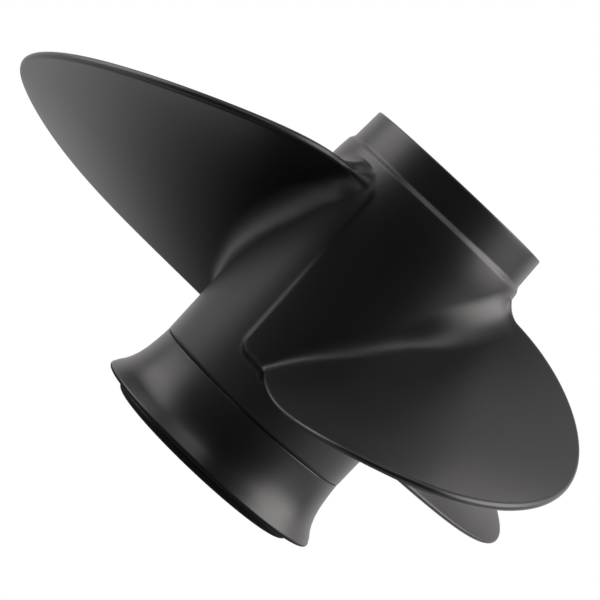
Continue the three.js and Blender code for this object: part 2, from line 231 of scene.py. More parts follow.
class Builder:
    """Collects points and faces, and merges points that coincide."""

    def __init__(self):
        self.points = []
        self.faces = []
        self.count = 0

    def grid(self, rows, closed=False):
        """Adds a grid of quads. rows is a list of equal point lists, closed joins each row's ends."""
        rows = np.asarray(rows, dtype=float)
        n_rows, n_columns = rows.shape[:2]
        start = self.count
        self.points.append(rows.reshape(-1, 3))
        self.count += n_rows * n_columns
        last = n_columns if closed else n_columns - 1
        for i in range(n_rows - 1):
            for j in range(last):
                k = (j + 1) % n_columns
                self.faces.append([start + i * n_columns + j, start + i * n_columns + k,
                                   start + (i + 1) * n_columns + k, start + (i + 1) * n_columns + j])

    def triangles(self, points, faces):
        """Adds points, and faces that are given by their places in that list."""
        start = self.count
        self.points.append(np.asarray(points, dtype=float))
        self.count += len(points)
        self.faces.extend([tuple(start + k for k in face) for face in faces])

    def welded(self):
        """Points and faces with close points merged and the faces that this empties left out."""
        points = np.vstack(self.points)
        neighbours = list(product((0, -1, 1), repeat=3))
        keys = {}
        index = np.zeros(len(points), dtype=int)
        kept = []
        for i, p in enumerate(points):
            cell = tuple(np.round(p / WELD).astype(int))
            near = ((cell[0] + dx, cell[1] + dy, cell[2] + dz) for dx, dy, dz in neighbours)
            found = next((keys[c] for c in near if c in keys), None)
            if found is None:
                found = len(kept)
                keys[cell] = found
                kept.append(p)
            index[i] = found
        faces = []
        for face in self.faces:
            corners = []
            for k in face:
                if index[k] not in corners:
                    corners.append(index[k])
            if len(corners) > 2:
                faces.append(corners)
        return np.array(kept), faces


def arc(centre, radius, start, end, steps):
    """Points of an arc in the (radius, z) plane, from one angle to another in degrees."""
    points = []
    for i in range(steps + 1):
        angle = math.radians(start + (end - start) * i / steps)
        points.append((centre[0] + radius * math.cos(angle), centre[1] + radius * math.sin(angle)))
    return points


def corner_arc(before, corner, after, radius, steps=8):
    """Points of the round that replaces the corner between two straight lines."""
    here = Vector(corner)
    back = (Vector(before) - here).normalized()
    out = (Vector(after) - here).normalized()
    half = back.angle(out) / 2
    reach = radius / math.tan(half)
    centre = here + (back + out).normalized() * radius / math.sin(half)
    first = here + back * reach - centre
    last = here + out * reach - centre
    turn = math.atan2(first.x * last.y - first.y * last.x, first.dot(last))
    base = math.atan2(first.y, first.x)
    points = []
    for k in range(steps + 1):
        angle = base + turn * k / steps
        points.append((centre.x + radius * math.cos(angle), centre.y + radius * math.sin(angle)))
    return points


def rounded(profile, radii, steps=5):
    """A closed (radius, z) profile whose corners are rounded, one radius for each corner."""
    points = []
    for i, corner in enumerate(profile):
        after = profile[(i + 1) % len(profile)]
        points += corner_arc(profile[i - 1], corner, after, radii[i], steps)
    return points


def turned_rows(profile, segments=ROUND, start=0.0):
    """Rows of points, one for each profile point, round the Z axis."""
    angles = start + np.arange(segments) * 2 * math.pi / segments
    rows = []
    for radius, z in profile:
        rows.append(np.stack([radius * np.sin(angles), -radius * np.cos(angles),
                              np.full(segments, z)], axis=1))
    return rows


def turned(name, profile, segments=ROUND):
    """A ring turned about Z from a closed profile."""
    builder = Builder()
    builder.grid(turned_rows(list(profile) + [profile[0]], segments), closed=True)
    points, faces = builder.welded()
    return outward(mesh_object(name, points, faces))


def outward(obj):
    """Turns the faces outward, going by the enclosed volume."""
    bm = bmesh.new()
    bm.from_mesh(obj.data)
    bmesh.ops.recalc_face_normals(bm, faces=bm.faces)
    if bm.calc_volume(signed=True) < 0:
        bmesh.ops.reverse_faces(bm, faces=bm.faces)
    bm.to_mesh(obj.data)
    bm.free()
    return obj


# ---------------------------------------------------------------- blade surface

def edge_angles(s):
    """Trailing and leading angles of the plan form, in radians."""
    inside = np.clip(s, 0, 1)
    leading = np.polyval(LEADING[::-1], s) * np.sqrt(1 - inside ** LEADING_ROUNDNESS)
    trailing = -np.polyval(TRAILING[::-1], s) * np.sqrt(1 - inside ** TRAILING_ROUNDNESS)
    return np.radians(trailing), np.radians(leading)


def mean_surface(s, angle):
    """Points and forward unit normals of the blade's mean surface."""
    radius = BARREL_RADIUS + s * (TIP_RADIUS - BARREL_RADIUS)
    z = BLADE_Z + ADVANCE * angle + RAKE[0] * s + RAKE[1] * s * s
    point = np.stack([radius * np.sin(angle), -radius * np.cos(angle), z], axis=-1)
    slope = (RAKE[0] + 2 * RAKE[1] * s) / (TIP_RADIUS - BARREL_RADIUS)
    normal = np.stack([-ADVANCE * np.cos(angle) - slope * radius * np.sin(angle),
                       -ADVANCE * np.sin(angle) + slope * radius * np.cos(angle), radius], axis=-1)
    return point, normal / np.linalg.norm(normal, axis=-1, keepdims=True)


def plate_thickness(s, angle):
    """Thickness before the edges are rounded."""
    trailing, leading = edge_angles(s)
    half_width = np.maximum((leading - trailing) / 2, TINY)
    q = np.clip((angle - (leading + trailing) / 2) / half_width, -1, 1)
    edge = TRAILING_EDGE_THICKNESS + (LEADING_EDGE_THICKNESS - TRAILING_EDGE_THICKNESS) * (q + 1) / 2
    middle = MID_THICKNESS_ROOT + (MID_THICKNESS_TIP - MID_THICKNESS_ROOT) * np.sqrt(np.clip(s, 0, 1))
    return edge + (middle - edge) * (1 - q * q)


def rounded_half(thickness, distance):
    """Half thickness at a distance from the edge, with a round nose."""
    radius = thickness / 2
    inside = np.clip(1 - distance / radius, 0, 1)
    return radius * np.sqrt(1 - inside ** 2)


def inset_shares(length, nose):
    """Shares from the edge (0) to the spine (1): first round the nose, then over the face."""
    first = nose * (1 - np.cos(np.linspace(0, math.pi / 2, NOSE_STEPS + 1))) / length
    rest = np.linspace(0, 1, FACE_STEPS + 1)[1:] ** FACE_GROWTH
    return np.concatenate([first, first[-1] + (1 - first[-1]) * rest])


def blade_column(side, along):
    """(s, angle, half thickness) from the edge to the spine, for one place along the outline.
    side is -1 on the trailing half, 1 on the leading half; along is 0 at the fillet's top, 1 at the tip."""
    climb = math.sin(along * math.pi / 2)
    s_edge = FILLET_S + (1 - FILLET_S) * climb
    s_spine = FILLET_S + (SPINE_END - FILLET_S) * climb
    return column_between(side, s_edge, s_spine)


def column_between(side, s_edge, s_spine):
    """(s, angle, half thickness) along a line from the edge to the spine."""
    trailing, leading = edge_angles(s_edge)
    angle_edge = trailing if side < 0 else leading
    angle_spine = sum(edge_angles(s_spine)) / 2
    ends, _ = mean_surface(np.array([s_edge, s_spine]), np.array([angle_edge, angle_spine]))
    reach = float(np.linalg.norm(ends[1] - ends[0]))
    nose = float(plate_thickness(np.float64(s_edge), np.float64(angle_edge))) / 2
    shares = inset_shares(reach, nose)
    s = s_edge + (s_spine - s_edge) * shares
    angle = angle_edge + (angle_spine - angle_edge) * shares
    half = rounded_half(plate_thickness(s, angle), shares * reach)
    return s, angle, half


def blade_faces(builder):
    """Both faces of the blade beyond the root fillet."""
    for face in (1, -1):
        for side in (-1, 1):
            rows = []
            for k in range(TIP_STEPS + 1):
                s, angle, half = blade_column(side, k / TIP_STEPS)
                point, normal = mean_surface(s, angle)
                rows.append(point + face * half[:, None] * normal)
            builder.grid(rows)


# ---------------------------------------------------------------- barrel skin

def smooth(x):
    """A share from 0 to 1 with level ends."""
    x = np.clip(x, 0, 1)
    return x * x * (3 - 2 * x)


def flare(place, height):
    """Sweep of the leading end along the barrel, as (mm round the barrel, z)."""
    amount = smooth((place - FLARE_FROM) / (1 - FLARE_FROM)) * (1 - height / FILLET_TOP) ** FLARE_FADE
    return np.stack([FLARE[0] * amount, FLARE[1] * amount], axis=-1)


AHEAD = SECTOR * BARREL_RADIUS        # one sector, in mm round the barrel


def step_path():
    """The line where the two die halves meet, over one sector, as (mm round the barrel, z)."""
    to_arc = BARREL_RADIUS * math.pi / 180
    trailing, leading = (float(a) for a in edge_angles(np.float64(0)))
    root = []
    for k in range(ROOT_STEPS + 1):
        share = k / ROOT_STEPS
        angle = trailing + (leading - trailing) * share
        sweep = flare(np.float64(2 * share - 1), 0.0)
        root.append((BARREL_RADIUS * angle + float(sweep[0]), BLADE_Z + ADVANCE * angle + float(sweep[1])))
    forward_corner = (STEP_ANGLE_FORWARD * to_arc, STEP_TOP)
    aft_corner = (STEP_ANGLE_AFT * to_arc, STEP_BOTTOM)
    leading_end = (root[-1][0] - AHEAD, root[-1][1])
    step = [leading_end] + corner_arc(leading_end, forward_corner, aft_corner, STEP_CORNER_FORWARD)
    step += corner_arc(forward_corner, aft_corner, root[0], STEP_CORNER_AFT)
    return step, root


STEP, ROOT_LINE = step_path()
WHOLE_LINE = np.array([(u - AHEAD, z) for u, z in ROOT_LINE] + STEP + ROOT_LINE
                      + [(u + AHEAD, z) for u, z in STEP[1:]] + [(u + AHEAD, z) for u, z in ROOT_LINE])


def line_distance(u, z):
    """Signed distance from the die line, positive on its forward side."""
    p = np.stack([u, z], axis=-1)[..., None, :]
    a = WHOLE_LINE[:-1]
    d = WHOLE_LINE[1:] - a
    length = np.maximum((d ** 2).sum(-1), TINY)
    t = np.clip(((p - a) * d).sum(-1) / length, 0, 1)
    gap = np.linalg.norm(p - (a + d * t[..., None]), axis=-1).min(axis=-1)
    level = np.interp(u, WHOLE_LINE[:, 0], WHOLE_LINE[:, 1])
    return np.where(z >= level, gap, -gap)


def barrel_radius(u, z):
    """Outer radius of the barrel, with the two tapers and the step between them."""
    forward = FORWARD_TAPER[0] + FORWARD_TAPER[1] * (FORWARD_TAPER[2] - z)
    easing = TOP_EASING[1] * np.maximum(0, z - TOP_EASING[0]) ** 2
    aft = AFT_TAPER[0] + AFT_TAPER[1] * (z - AFT_TAPER[2])
    return aft + (forward - aft) * smooth(line_distance(u, z) / STEP_WIDTH + 0.5) - easing


def on_barrel(u, z):
    """Points on the barrel's skin."""
    radius = barrel_radius(u, z)
    angle = u / BARREL_RADIUS
    return np.stack([radius * np.sin(angle), -radius * np.cos(angle), z], axis=-1)


def section_loop(s):
    """The blade's section at one radius, all the way round: (mm round the barrel, z), true radius, place
    from the trailing end (-1) to the leading end (1), and face (1 is suction, -1 is pressure)."""
    columns = []
    for face, sides in ((1, (-1, 1)), (-1, (1, -1))):
        for side in sides:
            _, angle, half = column_between(side, s, s)
            point, normal = mean_surface(np.full_like(angle, s), angle)
            surface = point + face * half[:, None] * normal
            turn = np.arctan2(surface[:, 0], -surface[:, 1])
            trailing, leading = edge_angles(np.float64(s))
            place = 2 * (angle - trailing) / (leading - trailing) - 1
            column = np.stack([turn * BARREL_RADIUS, surface[:, 2], np.hypot(surface[:, 0], surface[:, 1]),
                               place, np.full_like(place, face)], axis=1)
            columns.append((column if side == -face else column[::-1])[:-1])
    whole = np.vstack(columns)
    return whole[:, :2], whole[:, 2], whole[:, 3], whole[:, 4]


def outward_normals(loop):
    """Unit normals of a closed flat loop, pointing away from its inside."""
    tangent = np.roll(loop, -1, axis=0) - np.roll(loop, 1, axis=0)
    normal = np.stack([tangent[:, 1], -tangent[:, 0]], axis=1)
    normal /= np.maximum(np.linalg.norm(normal, axis=1, keepdims=True), TINY)
    area = (loop[:, 0] * np.roll(loop[:, 1], -1) - np.roll(loop[:, 0], -1) * loop[:, 1]).sum()
    return normal if area > 0 else -normal


def eased(knots, x):
    """Value at x between (x, value) knots, with level joints."""
    xs = np.array([k[0] for k in knots], dtype=float)
    values = np.array([k[1] for k in knots], dtype=float)
    i = np.clip(np.searchsorted(xs, x, side="right") - 1, 0, len(xs) - 2)
    share = smooth((x - xs[i]) / (xs[i + 1] - xs[i]))
    return values[i] + (values[i + 1] - values[i]) * share


def held_below(z):
    """Heights squeezed so that the root's fillet stays below the shoulder."""
    start, top = FILLET_LIMIT
    over = np.maximum(z - start, 0)
    return np.minimum(z, start) + (top - start) * (1 - np.exp(-over / (top - start)))


def fillet_rows():
    """Rings of points from the fillet's top down to the barrel, and the last ring's flat outline."""
    rows = []
    for k in range(FILLET_ROWS + 1):
        height = FILLET_TOP * (1 - math.sin(k / FILLET_ROWS * math.pi / 2))
        loop, true_radius, place, face = section_loop(height / (TIP_RADIUS - BARREL_RADIUS))
        radius = np.where(face > 0, eased(SUCTION_FILLET, place), eased(PRESSURE_FILLET, place))
        rise = np.clip(1 - height / radius, 0, 1)
        spread = radius * (1 - np.sqrt(1 - rise ** 2))
        swept = loop + flare(place, height)
        flat = swept + outward_normals(swept) * spread[:, None]
        flat[:, 1] = held_below(flat[:, 1])
        share = smooth(height / FILLET_TOP)
        radial = barrel_radius(flat[:, 0], flat[:, 1]) * (1 - share) + (true_radius - height) * share + height
        turn = flat[:, 0] / BARREL_RADIUS
        rows.append(np.stack([radial * np.sin(turn), -radial * np.cos(turn), flat[:, 1]], axis=1))
    return rows, flat


def inside_loop(points, loop):
    """Whether each flat point is inside the closed loop."""
    x, y = points[:, 0][:, None], points[:, 1][:, None]
    x0, y0 = loop[:, 0], loop[:, 1]
    x1, y1 = np.roll(x0, -1), np.roll(y0, -1)
    crosses = (y0 > y) != (y1 > y)
    with np.errstate(divide="ignore", invalid="ignore"):
        at = x0 + (y - y0) / (y1 - y0) * (x1 - x0)
    return (np.logical_and(crosses, x < at).sum(axis=1) % 2) == 1


def along_line(points, spacing):
    """Evenly spaced points and unit normals along a polyline."""
    points = np.asarray(points)
    steps = np.linalg.norm(np.diff(points, axis=0), axis=1)
    total = np.concatenate([[0], np.cumsum(steps)])
    places = np.linspace(0, total[-1], max(2, int(total[-1] / spacing)))
    even = np.stack([np.interp(places, total, points[:, 0]), np.interp(places, total, points[:, 1])], axis=1)
    tangent = np.gradient(even, axis=0)
    tangent /= np.linalg.norm(tangent, axis=1, keepdims=True)
    return even, np.stack([-tangent[:, 1], tangent[:, 0]], axis=1)


def nearest(points, others):
    """Distance from each point to the nearest of the others."""
    gap = np.full(len(points), np.inf)
    for p in others:
        gap = np.minimum(gap, np.hypot(points[:, 0] - p[0], points[:, 1] - p[1]))
    return gap


def skin_border(left, right, us, heights):
    """Outline of the skin's sector, with more points where the step crosses its two sides."""
    crossing = float(np.interp(left, WHOLE_LINE[:, 0], WHOLE_LINE[:, 1]))
    sides = np.concatenate([heights, crossing + np.array(BORDER_OFFSETS)])
    sides = np.unique(np.round(sides, 4))[1:-1]
    border = [(u, SEAM_Z) for u in us] + [(right, z) for z in sides]
    return border + [(u, SKIN_TOP) for u in us[::-1]] + [(left, z) for z in sides[::-1]]


def closed_edges(count, start):
    """Edges that join the given number of points in a ring."""
    return [(start + i, start + (i + 1) % count) for i in range(count)]


def skin_sector(base):
    """The barrel's skin over one sector, round the blade's base."""
    left = SECTOR_START * BARREL_RADIUS
    right = left + AHEAD
    us = np.linspace(left, right, ROUND // BLADES + 1)
    heights = SEAM_Z + (SKIN_TOP - SEAM_Z) * np.linspace(0, 1, int((SKIN_TOP - SEAM_Z) / SKIN_PITCH) + 1)
    border = skin_border(left, right, us, heights)
    edges = closed_edges(len(border), 0) + closed_edges(len(base), len(border))
    step_even, step_normal = along_line(STEP, STEP_SPACING)
    step_even[step_even[:, 0] < left, 0] += AHEAD
    near = [step_even + step_normal * offset for offset in STEP_OFFSETS]
    near += [base + outward_normals(base) * offset for offset in BASE_OFFSETS]
    free = np.array([(u, z) for u in us[1:-1] for z in heights[1:-1]])
    free = free[nearest(free, step_even) > STEP_CLEARANCE]
    pool = np.vstack(near + [free])
    border_gap = np.minimum.reduce([pool[:, 0] - left, right - pool[:, 0],
                                    pool[:, 1] - SEAM_Z, SKIN_TOP - pool[:, 1]])
    clear = (nearest(pool, base) > BASE_CLEARANCE) & (border_gap > BORDER_CLEARANCE)
    pool = thinned(pool[~inside_loop(pool, base) & clear], POINT_SPACING)
    everything = [Vector(p) for p in border + list(base) + list(pool)]
    flat, _, triangles, _, _, _ = delaunay_2d_cdt(everything, edges, [], 0, SAME_POINT)
    flat = np.array([tuple(p) for p in flat])
    centres = flat[np.array(triangles)].mean(axis=1)
    hole = inside_loop(centres, base)
    kept = [t for t, inner in zip(triangles, hole) if not inner]
    return on_barrel(flat[:, 0], flat[:, 1]), kept


def thinned(points, spacing):
    """Drops points that share a cell of the given size with an earlier one."""
    cells = set()
    kept = []
    for p in points:
        cell = (int(p[0] / spacing), int(p[1] / spacing))
        if cell not in cells:
            cells.add(cell)
            kept.append(p)
    return np.array(kept)


# ---------------------------------------------------------------- casting

def rotated(points, angle):
    """Points turned about the Z axis."""
    c, s = math.cos(angle), math.sin(angle)
    turn = np.array([[c, -s, 0], [s, c, 0], [0, 0, 1]])
    return np.asarray(points) @ turn.T


def barrel_inside_profile():
    """From the skin's lower edge, down the spigot, up the bore, over the front and down the collar."""
    seam_radius = float(barrel_radius(np.float64(0), np.float64(SEAM_Z)))
    top_radius = float(barrel_radius(np.float64(0), np.float64(SKIN_TOP)))
    lip = LIP_DEPTH / 2
    seam_foot = SEAM_Z - SEAM_EDGE[1]
    profile = [(seam_radius, SEAM_Z), (seam_radius - SEAM_EDGE[0], seam_foot)]
    profile += [(SPIGOT_RADIUS + SPIGOT_EASE, seam_foot), (SPIGOT_RADIUS, seam_foot - SPIGOT_EASE)]
    profile += [(SPIGOT_RADIUS, LIP_DEPTH + LIP_EASE)]
    profile += arc((LIP_RADIUS - lip, lip), lip, 90, -90, 12)
    profile += arc((SPIGOT_BORE + LIP_INSIDE_ROUND, LIP_INSIDE_ROUND), LIP_INSIDE_ROUND, -90, -180, 6)
    profile += [(SPIGOT_BORE, SEAM_Z - BORE_STEP)]
    profile += [(SPIGOT_BORE + BORE_EASE[0], SEAM_Z - BORE_STEP + BORE_EASE[1])]
    profile += [(BARREL_BORE - BORE_EASE[0], SEAM_Z - BORE_EASE[1]), (BARREL_BORE, SEAM_Z)]
    margin, spacing = BORE_ROWS
    profile += [(BARREL_BORE, z) for z in np.arange(SEAM_Z + margin, LENGTH - margin, spacing)]
    inside, outside = FRONT_INSIDE_ROUND, FRONT_OUTSIDE_ROUND
    profile += arc((BARREL_BORE + inside, LENGTH - inside), inside, 180, 90, 5)
    profile += arc((COLLAR_RADIUS - outside, LENGTH - outside), outside, 90, 0, 5)
    slope = shoulder(top_radius)
    for k in range(1, COLLAR_ROWS):
        share = k / COLLAR_ROWS
        profile.append((COLLAR_RADIUS + (slope[0][0] - COLLAR_RADIUS) * share,
                        LENGTH - outside + (slope[0][1] - LENGTH + outside) * share))
    profile += slope
    return profile


def shoulder(bottom_radius):
    """From the collar down to the barrel: a slope with rounded ends, given by its tilt in degrees."""
    heights = [SKIN_TOP + (SHOULDER_TOP - SKIN_TOP) * k / SHOULDER_STEPS for k in range(SHOULDER_STEPS + 1)]
    points = [(bottom_radius, SKIN_TOP)]
    for low, high in zip(heights, heights[1:]):
        tilt = math.radians(float(eased(SHOULDER_TILT, (low + high) / 2)))
        points.append((points[-1][0] - math.tan(tilt) * (high - low), high))
    return points[::-1]


def casting_shell():
    """Barrel and blades as one closed skin."""
    builder = Builder()
    blade = Builder()
    blade_faces(blade)
    rows, base = fillet_rows()
    blade.grid(rows, closed=True)
    skin_points, skin_faces = skin_sector(base)
    blade.triangles(skin_points, skin_faces)
    points = np.vstack(blade.points)
    for k in range(BLADES):
        builder.triangles(rotated(points, k * SECTOR), blade.faces)
    builder.grid(turned_rows(barrel_inside_profile(), ROUND, SECTOR_START), closed=True)
    points, faces = builder.welded()
    return outward(mesh_object("casting", points, faces))


def rib_width(radius):
    """Half width of a rib, flared into both barrels."""
    width = np.full_like(radius, RIB_HALF)
    for gap in (radius - INNER_RADIUS, BARREL_BORE - radius):
        x = np.clip(gap, 0, RIB_FILLET)
        width = width + RIB_FILLET - np.sqrt(RIB_FILLET ** 2 - (RIB_FILLET - x) ** 2)
    return width


def rib(turn):
    """A rib from the inner barrel to the outer one, with round ends."""
    quarter = np.linspace(0, math.pi / 2, RIB_STEPS + 1)
    near = INNER_RADIUS + RIB_FILLET * (1 - np.cos(quarter))
    far = BARREL_BORE - RIB_FILLET * (1 - np.cos(quarter[::-1]))
    radius = np.concatenate([[INNER_RADIUS - RIB_OVERLAP], near, far, [BARREL_BORE + RIB_OVERLAP]])
    width = rib_width(np.clip(radius, INNER_RADIUS, BARREL_BORE))
    y = np.concatenate([-radius, -radius[::-1]])
    bottom = INNER_AFT_Z + RIB_SETBACK + RIB_ROUND
    top = INNER_FRONT_Z - RIB_SETBACK - RIB_ROUND
    rows = []
    for centre, angles in ((bottom, quarter - math.pi / 2), (top, quarter)):
        for angle in angles:
            half = width - RIB_ROUND * (1 - math.cos(angle))
            x = np.concatenate([half, -half[::-1]])
            rows.append(np.stack([x, y, np.full_like(x, centre + RIB_ROUND * math.sin(angle))], axis=1))
    builder = Builder()
    builder.grid(rows, closed=True)
    points = np.vstack(builder.points)
    count = len(rows[0])
    builder.faces.append(tuple(range(count)))
    builder.faces.append(tuple(range(len(points) - count, len(points))))
    return outward(mesh_object("rib", rotated(points, turn), builder.faces))


def inner_barrel():
    """The sleeve in the casting that holds the bush."""
    profile = [(INNER_BORE, INNER_FRONT_Z), (INNER_BORE, INNER_AFT_Z),
               (INNER_RADIUS, INNER_AFT_Z), (INNER_RADIUS, INNER_FRONT_Z)]
    return turned("inner", rounded(profile, INNER_ROUNDS))


def joined(base, others):
    """Union of closed meshes, with the extra objects removed."""
    for other in others:
        modifier = base.modifiers.new("join", "BOOLEAN")
        modifier.operation = "UNION"
        modifier.solver = "MANIFOLD"
        modifier.object = other
    evaluated = base.evaluated_get(bpy.context.evaluated_depsgraph_get())
    mesh = bpy.data.meshes.new_from_object(evaluated)
    base.modifiers.clear()
    base.data = mesh
    for other in others:
        bpy.data.objects.remove(other)
    return base


def blade_casting():
    """Barrel, blades, ribs and inner barrel as one closed mesh."""
    shell = casting_shell()
    core = joined(inner_barrel(), [rib(RIB_TURN + k * SECTOR) for k in range(BLADES)])
    casting = joined(shell, [core])
    casting.data.shade_smooth()
    casting.data.set_sharp_from_angle(angle=CAST_SHARP)
    casting.name = "cast_body"
    return casting


# ---------------------------------------------------------------- diffuser ring

def diffuser_ring():
    """The flared ring round the spigot, with a round rim."""
    bore = SPIGOT_RADIUS + RING_CLEARANCE
    front = SEAM_Z - RING_CLEARANCE
    rim = RING_BOX[1][0]
    rim_z = RING_BOX[0][2]
    profile = [(bore, front - RING_BORE_EASE)] + [(bore + out, z) for out, z in RING_INSIDE]
    profile += [(rim - RING_RIM_FOOT[0], rim_z + RING_RIM_FOOT[1])]
    profile += arc((rim - RING_RIM_ROUND, rim_z + RING_RIM_ROUND), RING_RIM_ROUND, -90, 45, 8)
    profile += [(rim - inward, rim_z + rise) for inward, rise in RING_OUTSIDE]
    profile += [(RING_SEAM_RADIUS, front - RING_SEAM_EASE)]
    profile += arc((RING_SEAM_RADIUS - RING_SEAM_ROUND, front - RING_SEAM_ROUND), RING_SEAM_ROUND, 0, 90, 4)
    return turned("flared_ring", profile)


# ---------------------------------------------------------------- hub internals

def extents(box):
    """Bottom, top and outer radius of a turned CAD node."""
    low, high = box
    return low[2], high[2], high[0]


def cush_bush():
    """The rubber bush, with chamfered ends."""
    bottom, top, outer = extents(BUSH_BOX)
    inner = SLEEVE_BOX[1][0] + BUSH_GAP
    inner_across, inner_along = BUSH_INNER_CHAMFER
    outer_across, outer_along = BUSH_OUTER_CHAMFER
    profile = [(inner, top - inner_along), (inner, bottom + inner_along)]
    profile += [(inner + inner_across, bottom), (outer - outer_across, bottom)]
    profile += [(outer, bottom + outer_along)]
    profile += [(outer, top - outer_along), (outer - outer_across, top), (inner + inner_across, top)]
    return turned("rubber_bush", rounded(profile, BUSH_ROUNDS, BUSH_STEPS), BUSH_SEGMENTS)


def spline_radius(angle):
    """Radius of the splined bore: grooves with slanted flanks."""
    phase = np.abs((angle * SPLINE_TEETH / (2 * math.pi)) % 1 - 0.5) * 2
    start, width = SPLINE_FLANK
    return SPLINE_MINOR + (SPLINE_MAJOR - SPLINE_MINOR) * smooth((phase - start) / width)


def spline_sleeve():
    """The drive sleeve, with a splined bore that has a chamfer at each end."""
    bottom, top, outer = extents(SLEEVE_BOX)
    angles = np.arange(SLEEVE_SEGMENTS) * 2 * math.pi / SLEEVE_SEGMENTS
    bore = spline_radius(angles)
    beyond, depth = SLEEVE_CHAMFER
    chamfer = np.maximum(bore, SPLINE_MAJOR + beyond)

    def ring(radius, z):
        radius = np.broadcast_to(radius, angles.shape)
        return np.stack([radius * np.sin(angles), -radius * np.cos(angles), np.full(len(angles), z)], axis=1)

    rows = [ring(bore, bottom + depth), ring(chamfer, bottom)]
    rows += [ring(outer - inset, bottom + rise) for inset, rise in SLEEVE_END]
    rows += [ring(outer - inset, top - rise) for inset, rise in SLEEVE_END[::-1]]
    rows += [ring(chamfer, top), ring(bore, top - depth)]
    rows.append(rows[0])
    builder = Builder()
    builder.grid(rows, closed=True)
    points, faces = builder.welded()
    obj = outward(mesh_object("drive_sleeve", points, faces))
    obj.data.set_sharp_from_angle(angle=SLEEVE_SHARP)
    return obj


def hardware(name, profile, rounds):
    """A turned ring with rounded edges."""
    return turned(name, rounded(profile, rounds, HARDWARE_STEPS), HARDWARE_SEGMENTS)


def thrust_washer():
    """The washer ahead of the sleeve: bevelled outside at the back, chamfered inside at the front."""
    bottom, top, outer = extents(THRUST_BOX)
    bore = SPLINE_MAJOR + BORE_CLEARANCE
    profile = [(bore, bottom), (outer - THRUST_BEVEL[0], bottom), (outer, bottom + THRUST_BEVEL[1])]
    profile += [(outer, top), (bore + THRUST_CHAMFER, top), (bore, top - THRUST_CHAMFER)]
    return hardware("thrust_washer_turned", profile, THRUST_ROUNDS)


def spline_spacer():
    """The spacer behind the sleeve: a flange at the back and a narrower neck."""
    bottom, top, outer = extents(SPACER_BOX)
    bore = SPLINE_MAJOR + BORE_CLEARANCE
    neck_radius, neck_rise = SPACER_NECK_FOOT
    profile = [(bore, bottom), (outer, bottom), (outer, bottom + SPACER_FLANGE)]
    profile += [(neck_radius, bottom + neck_rise), (SPACER_NECK_RADIUS, top), (bore, top)]
    return hardware("spacer_turned", profile, SPACER_ROUNDS)


def plain_washer():
    """The flat washer under the nut."""
    bottom, top, outer = extents(WASHER_BOX)
    profile = [(WASHER_BORE, bottom), (outer, bottom), (outer, top), (WASHER_BORE, top)]
    return hardware("washer_turned", profile, WASHER_ROUNDS)


# ---------------------------------------------------------------- materials

# Bumps are given as strength, and distance in metres
NOISE_ROUGHNESS = 0.55
PAINT_COLOURS = ((0.0055, 0.0055, 0.0057), (0.0085, 0.0085, 0.0086))
PAINT_ROUGHNESS = (0.36, 0.42)
PAINT_PEEL = (0.05, 0.0002)
PAINT_GRAIN = (0.04, 0.00005)
RUBBER_COLOURS = ((0.012, 0.012, 0.012), (0.028, 0.028, 0.027))
RUBBER_ROUGHNESS = (0.7, 0.9)
RUBBER_GRAIN = (0.25, 0.0001)
TURNED_SCALE = 900
TURNED_WOBBLE = 0.4
TURNED_RINGS = (0.15, 0.00003)
BRASS_COLOURS = ((0.62, 0.44, 0.19), (0.5, 0.33, 0.14))
BRASS_ROUGHNESS = (0.28, 0.42)
STEEL_COLOURS = ((0.56, 0.56, 0.57), (0.42, 0.42, 0.43))
STEEL_ROUGHNESS = (0.25, 0.4)


def node_material(name):
    """A new material, its node tree and its shader."""
    material = bpy.data.materials.new(name)
    material.use_nodes = True
    tree = material.node_tree
    shader = tree.nodes["Principled BSDF"]
    return material, tree, shader


def texture_noise(tree, scale, detail):
    """Noise in the object's own coordinates, with the given number of waves in a metre."""
    place = tree.nodes.new("ShaderNodeTexCoord")
    noise = tree.nodes.new("ShaderNodeTexNoise")
    noise.inputs["Scale"].default_value = scale
    noise.inputs["Detail"].default_value = detail
    noise.inputs["Roughness"].default_value = NOISE_ROUGHNESS
    tree.links.new(place.outputs["Object"], noise.inputs["Vector"])
    return noise.outputs["Fac"]


def ranged(tree, value, low, high):
    """A value from 0 to 1 turned into one from low to high."""
    mapping = tree.nodes.new("ShaderNodeMapRange")
    mapping.inputs["To Min"].default_value = low
    mapping.inputs["To Max"].default_value = high
    tree.links.new(value, mapping.inputs["Value"])
    return mapping.outputs["Result"]


def mixed_colour(tree, value, first, second):
    """The first colour where the value is 0, the second where it is 1."""
    mix = tree.nodes.new("ShaderNodeMix")
    mix.data_type = "RGBA"
    mix.inputs["A"].default_value = (*first, 1)
    mix.inputs["B"].default_value = (*second, 1)
    tree.links.new(value, mix.inputs["Factor"])
    return mix.outputs["Result"]


def bumped(tree, shader, heights):
    """Chains bumps; heights is a list of (value, strength, distance in metres)."""
    previous = None
    for value, strength, distance in heights:
        bump = tree.nodes.new("ShaderNodeBump")
        bump.inputs["Strength"].default_value = strength
        bump.inputs["Distance"].default_value = distance
        tree.links.new(value, bump.inputs["Height"])
        if previous is not None:
            tree.links.new(previous, bump.inputs["Normal"])
        previous = bump.outputs["Normal"]
    tree.links.new(previous, shader.inputs["Normal"])


def satin_paint():
    """Satin black paint with a faint orange peel over the cast surface."""
    material, tree, shader = node_material("satin_black_paint")
    broad = texture_noise(tree, scale=35, detail=4)
    fine = texture_noise(tree, scale=900, detail=2)
    peel = texture_noise(tree, scale=260, detail=2)
    tree.links.new(mixed_colour(tree, broad, *PAINT_COLOURS), shader.inputs["Base Color"])
    tree.links.new(ranged(tree, broad, *PAINT_ROUGHNESS), shader.inputs["Roughness"])
    bumped(tree, shader, [(peel, *PAINT_PEEL), (fine, *PAINT_GRAIN)])
    return material


